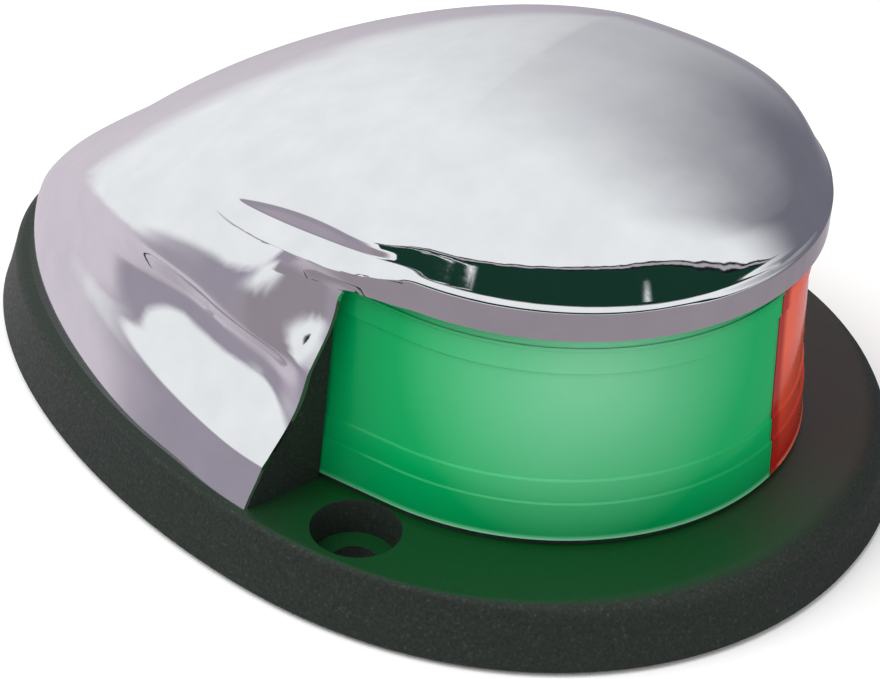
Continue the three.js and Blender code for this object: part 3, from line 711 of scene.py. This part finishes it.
def lens_material(name, side, deep, main, pale, deep_share, seam_width):
    """Dyed lens plastic, deeper along the seam; painted shade deepens it at the foot, the top edge
    and the rear edge, a thin painted highlight runs along the foot, and a painted glow lies on the
    flank where the lamp would shine through; deep_share is how far up the deep colour fades out."""
    g = Graph(name)
    place = g.split(g.place())
    height = g.span(place["Z"], LENS_FOOT, LENS_TOP, 0, 1)
    # Up the lens: a thin painted highlight along the foot, painted shade deepening the foot and the top
    # edge.
    body = g.ramp(height, (0.0, pale), (0.02, deep), (deep_share, main), (0.9, main), (1.0, deep))
    seam = g.span(g.maths("ABSOLUTE", place["Y"]), seam_width, 2 * seam_width, 0.9, 0)
    body = g.mix(seam, body, deep)
    # Painted shade towards the rear edge.
    body = g.mix(g.span(place["X"], LENS_X + 10 * MM, LENS_X - 12 * MM, 0, 0.8), body, deep)
    # Painted glow on the flank, where the lamp would shine through; noise breaks up its edge.
    glare = direction(side * 51)
    away = [
        g.square(g.maths("SUBTRACT", place["X"], LENS_X + LENS_RADIUS * glare[0])),
        g.square(g.maths("SUBTRACT", place["Y"], LENS_RADIUS * glare[1])),
        g.square(g.maths("SUBTRACT", place["Z"], LENS_TOP - 5 * MM)),
    ]
    reach = g.maths("SQRT", g.maths("ADD", away[0], g.maths("ADD", away[1], away[2])))
    glow_breakup = g.span(g.noise(45, 2), 0.3, 0.7, 0.75, 1.0)
    painted_lamp_glow = g.maths("MULTIPLY", g.span(reach, 3 * MM, 21 * MM, 1.0, 0.0), glow_breakup)
    g.set(
        Base_Color=g.mix(painted_lamp_glow, body, pale),
        Roughness=g.span(g.noise(700, 2), 0.3, 0.7, 0.10, 0.18),
        IOR=1.49,
        Specular_IOR_Level=0.25,
        Transmission_Weight=0.12,
        Subsurface_Weight=0.2,
        Subsurface_Scale=1.5 * MM,
        Coat_Weight=0.06,
        Coat_Roughness=0.05,
    )
    g.bump(g.noise(500, 2), 0.05, 0.1 * MM)
    return g.material


def rubber_material():
    g = Graph("seal_rubber")
    grain = g.noise(1800, 3)
    colour = g.ramp(grain, (0.3, (0.012, 0.012, 0.013)), (0.8, (0.035, 0.035, 0.037)))
    g.set(Base_Color=colour, Roughness=0.85)
    g.bump(grain, 0.3, 0.08 * MM)
    return g.material


def metal_material(name, dark, light, roughness, scale=900):
    g = Graph(name)
    grain = g.noise(scale, 3)
    g.set(
        Base_Color=g.ramp(grain, (0.3, dark), (0.75, light)),
        Metallic=1.0,
        Roughness=g.span(grain, 0.3, 0.7, roughness * 0.8, roughness * 1.3),
    )
    g.bump(grain, 0.08, 0.05 * MM)
    return g.material


def glass_material():
    g = Graph("lamp_glass")
    haze = g.noise(400, 2)
    g.set(
        Base_Color=g.ramp(haze, (0.3, (0.93, 0.96, 0.97)), (0.8, (0.99, 1.0, 1.0))),
        Transmission_Weight=1.0,
        Roughness=g.span(haze, 0.3, 0.8, 0.01, 0.05),
        IOR=1.47,
    )
    return g.material


def wire_material(name, dark, light):
    g = Graph(name)
    grain = g.noise(700, 2)
    g.set(Base_Color=g.ramp(grain, (0.3, dark), (0.8, light)), Roughness=g.span(grain, 0.3, 0.8, 0.35, 0.5))
    g.bump(grain, 0.1, 0.05 * MM)
    return g.material


CHROME = chrome_material()
BLACK = moulded_black_material()
# The pale lens colours are painted light: the glow on the flank and the thin line along the foot.
GREEN_DEEP, GREEN_MAIN, GREEN_PAINTED_LIGHT = (0.0, 0.27, 0.075), (0.0, 0.42, 0.12), (0.20, 0.60, 0.34)
RED_DEEP, RED_MAIN, RED_PAINTED_LIGHT = (0.36, 0.010, 0.006), (0.92, 0.13, 0.055), (0.95, 0.22, 0.13)
GREEN = lens_material("lens_green", -1, GREEN_DEEP, GREEN_MAIN, GREEN_PAINTED_LIGHT, 0.3, 0.3 * MM)
RED = lens_material("lens_red", 1, RED_DEEP, RED_MAIN, RED_PAINTED_LIGHT, 0.6, 1.1 * MM)
RUBBER = rubber_material()
BRASS = metal_material("contact_brass", (0.62, 0.44, 0.16), (0.8, 0.62, 0.28), 0.28)
NICKEL = metal_material("lamp_metal", (0.55, 0.54, 0.5), (0.75, 0.74, 0.7), 0.25)
STEEL = metal_material("fastener_steel", (0.45, 0.46, 0.48), (0.66, 0.67, 0.69), 0.32)
TIN = metal_material("terminal_tin", (0.6, 0.6, 0.6), (0.8, 0.8, 0.79), 0.3)
TUNGSTEN = metal_material("filament", (0.2, 0.2, 0.2), (0.35, 0.34, 0.33), 0.4)
GLASS = glass_material()
WIRE_RED = wire_material("wire_red", (0.35, 0.015, 0.012), (0.5, 0.03, 0.025))
WIRE_BLACK = wire_material("wire_black", (0.012, 0.012, 0.013), (0.03, 0.03, 0.032))


# ---- cover -------------------------------------------------------------------------------
def build_cover():
    piece = new_object("cover_shell", *cover_mesh(), "cover", "cover_chrome", CHROME)
    cut(piece, opening_tool(1))
    cut(piece, opening_tool(-1))
    cut(piece, lens_pocket(LENS_TOP + 0.3 * MM))
    for side in (1, -1):
        cut(piece, helper("rebate", *wing_mesh(side, REBATE_DEPTH, REBATE_SHEETS)))
    shade(piece, 32)
    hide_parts("cover")


def build_bosses():
    """Two posts under the roof that the cover screws bite into."""
    for name in ("port", "starboard"):
        x, y = middle_of(f"cover_screw_{name}")
        roof = float(bisect(lambda h: cover_level(x, y, h) + COVER_WALL * 0.6, UNDER_ROOF, SKY))
        post = turned([(BOSS_RADIUS, BOSS_FOOT), (BOSS_RADIUS, roof - 6 * MM)], x, y, 40)
        piece = new_object(f"cover_boss_{name}", *post, "cover", "cover_chrome", CHROME)
        bore = turned([(BOSS_BORE, 5 * MM), (BOSS_BORE, BOSS_BORE_TOP)], x, y, 32)
        cut(piece, helper("bore", *bore))
        shade(piece, 40)


# ---- base --------------------------------------------------------------------------------
def flange_mesh():
    angle = np.arange(COUNT) * 2 * np.pi / COUNT
    front = smooth(75, 20, np.degrees(np.arccos(np.clip(np.cos(angle), -1, 1))))
    edge = FLANGE_EDGE + FLANGE_EDGE_GAIN * front
    rings = []

    def ring(inset, z):
        x, y = egg_point(angle, inset)
        rings.append(np.stack([x, y, np.broadcast_to(z, angle.shape)], 1))

    ring(np.full(COUNT, 0.4 * MM), 0.0)
    ring(np.zeros(COUNT), FLANGE_FOOT)
    for share in (0.25, 0.5, 0.75):
        z = FLANGE_FOOT + share * (FLANGE_TOP - edge - FLANGE_FOOT)
        ring(FLANGE_DRAFT * z / FLANGE_TOP, z)
    lean = FLANGE_DRAFT * (FLANGE_TOP - edge) / FLANGE_TOP
    for k in range(9):
        a = math.pi / 2 * k / 8
        ring(lean + edge * (1 - math.cos(a)), FLANGE_TOP - edge + edge * math.sin(a))
    vertices = np.concatenate(rings).tolist()
    faces = ring_faces(len(rings), COUNT)
    faces.append(tuple(reversed(range(COUNT))))
    faces.append(tuple((len(rings) - 1) * COUNT + i for i in range(COUNT)))
    return vertices, faces


def recess_tool(side):
    """Deck screw recess with a rounded foot and a broken edge, and the drilled hole under it."""
    floor = FLANGE_TOP - RECESS_DEPTH
    rim = RECESS_RADIUS + 0.12 * MM
    outline = [
        (DRILL_RADIUS, -BELOW),
        (DRILL_RADIUS, floor),
        (RECESS_RADIUS * 0.93, floor + 0.3 * MM),
        (RECESS_RADIUS, FLANGE_TOP - 0.25 * MM),
        (rim, FLANGE_TOP + 0.01 * MM),
        (rim, FLANGE_TOP + 2 * MM),
    ]
    return helper("recess", *turned(outline, RECESS_X, side * RECESS_Y, 64))


def well_tool():
    """Oval wiring space in the underside."""
    count = 72
    vertices = []
    for z in (-BELOW, WELL_ROOF):
        for i in range(count):
            a = 2 * math.pi * i / count
            x = WELL_X + WELL_HALF_LENGTH * math.cos(a)
            vertices.append((x, WELL_HALF_WIDTH * math.sin(a), z))
    faces = ring_faces(2, count) + [tuple(reversed(range(count))), tuple(range(count, 2 * count))]
    return helper("well", vertices, faces)


def screw_hole_tool(name):
    """Counterbored hole for a cover screw."""
    outline = [
        (SCREW_HEAD_RADIUS, -BELOW),
        (SCREW_HEAD_RADIUS, SCREW_HEAD_DEPTH),
        (SCREW_SHANK_RADIUS, SCREW_HEAD_DEPTH),
        (SCREW_SHANK_RADIUS, ABOVE),
    ]
    return helper("screw_hole", *turned(outline, *middle_of(f"cover_screw_{name}"), 48))


def groove_tool():
    """Gasket groove: a band between two outlines, both drawn in from the base outline."""
    n = 200
    outer = [egg_point(2 * math.pi * i / n, GROOVE_OUTER) for i in range(n)]
    inner = [egg_point(2 * math.pi * i / n, GROOVE_INNER) for i in range(n)]
    vertices = [(float(x), float(y), z) for z in (-BELOW, GROOVE_DEPTH) for x, y in outer + inner]
    faces = []
    for i in range(n):
        j = (i + 1) % n
        faces.append((i, j, 2 * n + j, 2 * n + i))
        faces.append((n + i, 3 * n + i, 3 * n + j, n + j))
        faces.append((i, n + i, n + j, j))
        faces.append((2 * n + i, 2 * n + j, 3 * n + j, 3 * n + i))
    return helper("groove", vertices, faces)


def build_base():
    piece = new_object("base_flange", *flange_mesh(), "base", "base_plastic", BLACK)
    for side in (1, -1):
        cut(piece, recess_tool(side))
    cut(piece, well_tool())
    lead_hole = turned([(LEAD_HOLE_RADIUS, 0), (LEAD_HOLE_RADIUS, ABOVE)], middle_of("grommet")[0], 0, 48)
    cut(piece, helper("lead_hole", *lead_hole))
    for name in ("port", "starboard"):
        cut(piece, screw_hole_tool(name))
    cut(piece, groove_tool())
    shade(piece, 35)
    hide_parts("base")
    build_bulkhead()


def build_bulkhead():
    """Shield behind the lamp, wings out to the cover's leading edge, and the lamp post."""
    shield = new_object("base_shield", *shield_mesh(), "base", "base_plastic", BLACK)
    shade(shield, 35)
    for side, name in ((1, "port"), (-1, "starboard")):
        web = wing_mesh(side, WING_DEPTH, WING_SHEETS)
        wing = new_object(f"base_wing_{name}", *web, "base", "base_plastic", BLACK)
        cut(wing, lens_pocket(40 * MM))
        shade(wing, 35)
    build_post()


def shield_mesh():
    """Round wall behind the lamp, sunk a little into the flange."""
    steps = 120
    inner, foot = SHIELD_RADIUS - SHIELD_WALL, FLANGE_TOP - 0.5 * MM
    section = ((inner, foot), (SHIELD_RADIUS, foot), (SHIELD_RADIUS, SHIELD_TOP), (inner, SHIELD_TOP))
    vertices = []
    for i in range(steps + 1):
        a = math.radians(SHIELD_START + SHIELD_SWEEP * i / steps)
        vertices += [(LENS_X + r * math.cos(a), r * math.sin(a), z) for r, z in section]
    faces = []
    for i in range(steps):
        for k in range(4):
            a, b = 4 * i + k, 4 * i + (k + 1) % 4
            faces.append((a, b, b + 4, a + 4))
    faces += [(0, 1, 2, 3), tuple(4 * steps + k for k in (3, 2, 1, 0))]
    return vertices, faces


def wing_front(y):
    return LENS_X - EDGE_SET_BACK + WING_SLOPE * (EDGE_REACH - abs(y))


def wing_mesh(side, depth, sheets):
    """Upright web of flat sheets, each set back by its own amount and reaching out to depth
    under the cover."""
    steps = 60
    low = FLANGE_TOP - WING_SINK
    vertices = []
    for back in sheets:
        outline = [(WING_INNER_Y, WING_TOP), (WING_INNER_Y, low)]
        for k in range(steps + 1):
            z = low + (WING_TOP - low) * k / steps
            outline.append((cover_reach(side, max(z, FLANGE_TOP + 0.1 * MM), back, depth), z))
        vertices += [(wing_front(y) - back, side * y, z) for y, z in outline]
    count = steps + 3
    faces = ring_faces(len(sheets), count)
    faces += [tuple(reversed(range(count))), tuple(range(len(vertices) - count, len(vertices)))]
    return vertices, faces


def cover_reach(side, z, back, depth):
    """How far out the cover's outer face is on a plane behind the wing front, less depth."""
    reach = bisect(lambda y: cover_level(wing_front(y) - back, side * y, z) + depth, 20 * MM, 45 * MM)
    return float(reach)


def build_post():
    """Upright block behind the lamp that carries both contacts."""
    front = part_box("contact_upper")[0][0] - POST_GAP
    foot = FLANGE_TOP - 0.5 * MM
    size = Vector((POST_THICK, 2 * POST_HALF_WIDTH, POST_TOP - foot))
    centre = Vector((front - POST_THICK / 2, 0, (POST_TOP + foot) / 2))
    bm = bmesh.new()
    bmesh.ops.create_cube(bm, size=1)
    bmesh.ops.transform(bm, matrix=Matrix.Translation(centre) @ Matrix.Diagonal((*size, 1)), verts=bm.verts)
    bmesh.ops.bevel(bm, geom=bm.edges[:], offset=0.5 * MM, segments=3, affect="EDGES")
    vertices = [v.co.copy() for v in bm.verts]
    faces = [tuple(v.index for v in f.verts) for f in bm.faces]
    bm.free()
    post = new_object("base_post", vertices, faces, "base", "base_plastic", BLACK)
    shade(post, 35)


# ---- lens halves -------------------------------------------------------------------------
def lens_rows():
    """Rows of (inner radius, outer radius, height) up the lens wall, with the lip at the top."""
    steps = [(LENS_FOOT, 0.15), (LENS_FOOT + 0.5 * MM, 0.0)]
    steps += [(height * MM, out) for height, out in LENS_BANDS]
    steps.append((LENS_TOP, 0.0))
    rows = []
    for z, out in steps:
        share = (z - FLANGE_TOP) / (LENS_TOP - FLANGE_TOP)
        outer = LENS_RADIUS + (LENS_TOP_RADIUS - LENS_RADIUS) * share + out * MM
        rows.append((outer - LENS_WALL, outer, z))
    inner, outer, _ = rows.pop()
    lip = LENS_TOP - LENS_LIP_DEPTH
    rows.append((inner, outer, lip - 0.05 * MM))
    rows.append((inner - LENS_LIP, outer, lip))
    rows.append((inner - LENS_LIP, outer, LENS_TOP))
    return rows


def build_lenses():
    gap = SEAM_HALF_GAP / LENS_RADIUS
    for side, name, material in ((-1, "lens_green", GREEN), (1, "lens_red", RED)):
        start, end = (gap, LENS_SWEEP) if side > 0 else (-LENS_SWEEP, -gap)
        vertices, faces = arc_wall(lens_rows(), start, end, 160)
        piece = new_object(f"{name}_half", vertices, faces, "base", name, material)
        shade(piece, 28)
        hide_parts(name)


# ---- carried-over CAD nodes --------------------------------------------------------------
NODE_EDGE = 0.12 * MM  # small round on the edges of the carried-over nodes


def finish_node(name, material):
    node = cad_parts[name]
    node.data.materials.clear()
    node.data.materials.append(material)
    bevel = node.modifiers.new("soft_edges", "BEVEL")
    bevel.width = NODE_EDGE
    bevel.segments = 2
    bevel.limit_method = "ANGLE"
    bevel.angle_limit = math.radians(40)


NODE_LOOKS = {
    "mounting_gasket": RUBBER,
    "cover_seal": RUBBER,
    "lens_seal_green": RUBBER,
    "lens_seal_red": RUBBER,
    "grommet": RUBBER,
    "sector_baffle": BLACK,
    "lamp_glass": GLASS,
    "lamp_cap_lower": NICKEL,
    "lamp_cap_upper": NICKEL,
    "lamp_filament": TUNGSTEN,
    "contact_lower": BRASS,
    "contact_upper": BRASS,
    "rivet_lower": STEEL,
    "rivet_upper": STEEL,
    "lead_positive": WIRE_RED,
    "lead_negative": WIRE_BLACK,
    "terminal_positive": TIN,
    "terminal_negative": TIN,
    "cover_screw_port": STEEL,
    "cover_screw_starboard": STEEL,
    "screw_washer_port": STEEL,
    "screw_washer_starboard": STEEL,
}


# ---- studio ------------------------------------------------------------------------------
GAP_AZIMUTH = 300  # middle of the dark gap, on the camera's side
WALL_AZIMUTH = 70
GROUND_AZIMUTH = 160  # the ground is palest this way
TENT_WHITE = (0.86, 0.88, 0.89)
WALL_GREY = (0.155, 0.155, 0.19)
LAVENDER = (0.33, 0.295, 0.355)
GAP_BLACK = (0.006, 0.009, 0.009)
GAP_EDGE = (0.42, 0.40, 0.44)
GAP_GREEN = (0.008, 0.036, 0.024)
GROUND_NEAR = (0.30, 0.265, 0.30)
GROUND_FAR = (0.64, 0.59, 0.65)


def surroundings_group():
    """What the polished cover mirrors, by bearing from the camera and by elevation in degrees:
    pale tent, grey wall to the right, a dark gap behind the camera, lavender to the left."""
    group = bpy.data.node_groups.new("surroundings", "ShaderNodeTree")
    group.interface.new_socket("Direction", in_out="INPUT", socket_type="NodeSocketVector")
    group.interface.new_socket("Color", in_out="OUTPUT", socket_type="NodeSocketColor")
    nodes, links = group.nodes, group.links
    entry = nodes.new("NodeGroupInput")
    leave = nodes.new("NodeGroupOutput")
    normal = nodes.new("ShaderNodeVectorMath")
    normal.operation = "NORMALIZE"
    links.new(entry.outputs[0], normal.inputs[0])
    parts = nodes.new("ShaderNodeSeparateXYZ")
    links.new(normal.outputs[0], parts.inputs[0])

    def towards(way):
        dot = nodes.new("ShaderNodeVectorMath")
        dot.operation = "DOT_PRODUCT"
        links.new(normal.outputs[0], dot.inputs[0])
        dot.inputs[1].default_value = way
        return dot.outputs["Value"]

    def maths(operation, a, b=0.0):
        node = nodes.new("ShaderNodeMath")
        node.operation = operation
        for socket, value in zip(node.inputs, (a, b)):
            if isinstance(value, bpy.types.NodeSocket):
                links.new(value, socket)
            else:
                socket.default_value = value
        return node.outputs[0]

    def span(source, low, high, to_low=0.0, to_high=1.0):
        node = nodes.new("ShaderNodeMapRange")
        node.interpolation_type = "SMOOTHSTEP"
        for key, value in (("From Min", low), ("From Max", high), ("To Min", to_low), ("To Max", to_high)):
            node.inputs[key].default_value = value
        links.new(source, node.inputs["Value"])
        return node.outputs["Result"]

    def between(source, start, full, ebb, end):
        return maths("MULTIPLY", span(source, start, full), span(source, ebb, end, 1.0, 0.0))

    def mix(factor, a, b):
        node = nodes.new("ShaderNodeMix")
        node.data_type = "RGBA"
        links.new(factor, node.inputs[0])
        for socket, value in ((node.inputs[6], a), (node.inputs[7], b)):
            if isinstance(value, bpy.types.NodeSocket):
                links.new(value, socket)
            else:
                socket.default_value = (*value, 1)
        return node.outputs[2]

    def ragged(size, scale):
        noise = nodes.new("ShaderNodeTexNoise")
        noise.inputs["Scale"].default_value = scale
        links.new(normal.outputs[0], noise.inputs["Vector"])
        return span(noise.outputs["Fac"], 0.25, 0.75, -size, size)

    def bearing_from(azimuth):
        ahead, aside = towards(direction(azimuth)), towards(direction(azimuth + 90))
        return maths("DEGREES", maths("ARCTAN2", aside, ahead))

    def both(a, b):
        return maths("MULTIPLY", a, b)

    rise = maths("ADD", maths("DEGREES", maths("ARCSINE", parts.outputs["Z"])), ragged(0.8, 9))
    bearing = bearing_from(GAP_AZIMUTH)

    far_side = span(towards(direction(GROUND_AZIMUTH)), 0.0, 0.85)
    ground = mix(far_side, GROUND_NEAR, GROUND_FAR)
    around = mix(span(rise, -1, -10), TENT_WHITE, ground)
    aside = both(between(bearing, -112, -86, -70, -54), between(rise, -34, -16, 2, 10))
    around = mix(aside, around, LAVENDER)
    wall = both(between(bearing_from(WALL_AZIMUTH), -50, -16, 15, 75), between(rise, -34, -24, 15, 85))
    around = mix(wall, around, WALL_GREY)

    top = maths("ADD", span(bearing, -60, -8, 32, 36), span(bearing, 42, 112, 0, -36))
    under = maths("SUBTRACT", top, rise)
    bottom = span(bearing, -58, -46, 23, 2)
    gap = both(between(bearing, -63, -59, 108, 118), span(maths("SUBTRACT", rise, bottom), 0, 3))
    for depth, colour in ((0, GAP_BLACK), (1.3, GAP_EDGE), (3.0, GAP_BLACK), (4.2, GAP_GREEN)):
        around = mix(both(gap, span(under, depth, depth + 0.4)), around, colour)
    for start, end, low in ((-64, -40, 25.2), (-50, -30, 26.8), (38, 43, 24.2)):
        wide = between(bearing, start, start + 3, end - 3, end)
        around = mix(both(wide, between(rise, low, low + 0.3, low + 0.6, low + 0.9)), around, TENT_WHITE)
    links.new(around, leave.inputs[0])
    return group


def build_floor(surroundings):
    """Plain pale paper; mirror rays see the surroundings in its place."""
    g = Graph("floor")
    paper = g.ramp(g.noise(3, 2), (0.3, (0.90, 0.90, 0.90)), (0.7, (0.93, 0.93, 0.93)))
    g.set(Base_Color=paper, Roughness=0.9)
    incoming = g.node("ShaderNodeNewGeometry").outputs["Incoming"]
    turn = g.node("ShaderNodeVectorMath", operation="SCALE")
    turn.inputs["Scale"].default_value = -1
    g.link(incoming, turn.inputs[0])
    mirrored = g.node("ShaderNodeGroup", node_tree=surroundings)
    g.link(turn.outputs[0], mirrored.inputs[0])
    glow = g.node("ShaderNodeEmission")
    g.link(mirrored.outputs[0], glow.inputs["Color"])
    path = g.node("ShaderNodeLightPath")
    choose = g.node("ShaderNodeMixShader")
    g.link(path.outputs["Is Glossy Ray"], choose.inputs[0])
    g.link(g.bsdf.outputs[0], choose.inputs[1])
    g.link(glow.outputs[0], choose.inputs[2])
    g.link(choose.outputs[0], g.out.inputs["Surface"])
    bm = bmesh.new()
    bmesh.ops.create_grid(bm, x_segments=1, y_segments=1, size=3)
    mesh = bpy.data.meshes.new("floor")
    bm.to_mesh(mesh)
    bm.free()
    floor = bpy.data.objects.new("floor", mesh)
    floor.location.z = BASE_LOW[2] - FLOOR_GAP
    floor.data.materials.append(g.material)
    bpy.context.scene.collection.objects.link(floor)


def build_world(surroundings):
    """Even pale light; mirror rays see the surroundings in its place."""
    world = bpy.data.worlds.new("studio")
    bpy.context.scene.world = world
    world.use_nodes = True
    tree = world.node_tree
    background = tree.nodes["Background"]
    coordinates = tree.nodes.new("ShaderNodeTexCoord")
    mirrored = tree.nodes.new("ShaderNodeGroup")
    mirrored.node_tree = surroundings
    tree.links.new(coordinates.outputs["Generated"], mirrored.inputs[0])
    path = tree.nodes.new("ShaderNodeLightPath")
    choose = tree.nodes.new("ShaderNodeMix")
    choose.data_type = "RGBA"
    tree.links.new(path.outputs["Is Glossy Ray"], choose.inputs[0])
    choose.inputs[6].default_value = (0.95, 0.95, 0.95, 1)
    tree.links.new(mirrored.outputs[0], choose.inputs[7])
    tree.links.new(choose.outputs[2], background.inputs["Color"])


def build_light():
    data = bpy.data.lights.new("softbox", "AREA")
    data.shape = "RECTANGLE"
    data.size = SOFTBOX_SIDE
    data.size_y = SOFTBOX_SIDE
    data.energy = SOFTBOX_WATTS
    light = bpy.data.objects.new("softbox", data)
    light.location = SOFTBOX_PLACE
    light.visible_glossy = False
    light.rotation_euler = (-light.location).to_track_quat("-Z", "Y").to_euler()
    bpy.context.scene.collection.objects.link(light)


def build_camera():
    """Three-quarter view from ahead and to starboard; the roll leans the light clockwise in the
    picture."""
    data = bpy.data.cameras.new("camera")
    data.lens = CAMERA_LENS
    data.sensor_width = CAMERA_SENSOR
    camera = bpy.data.objects.new("camera", data)
    away = Vector(direction(CAMERA_AZIMUTH, CAMERA_ELEVATION))
    camera.location = Vector(CAMERA_AIM) + away * CAMERA_DISTANCE
    upright = (-away).to_track_quat("-Z", "Y").to_matrix()
    camera.rotation_euler = (upright @ Matrix.Rotation(CAMERA_ROLL, 3, "Z")).to_euler()
    bpy.context.scene.collection.objects.link(camera)
    bpy.context.scene.camera = camera


def build_colour_management():
    bpy.context.scene.view_settings.view_transform = "Standard"


build_cover()
build_bosses()
build_base()
build_lenses()
for node_name, look in NODE_LOOKS.items():
    finish_node(node_name, look)
SURROUNDINGS = surroundings_group()
build_floor(SURROUNDINGS)
build_world(SURROUNDINGS)
build_light()
build_camera()
build_colour_management()
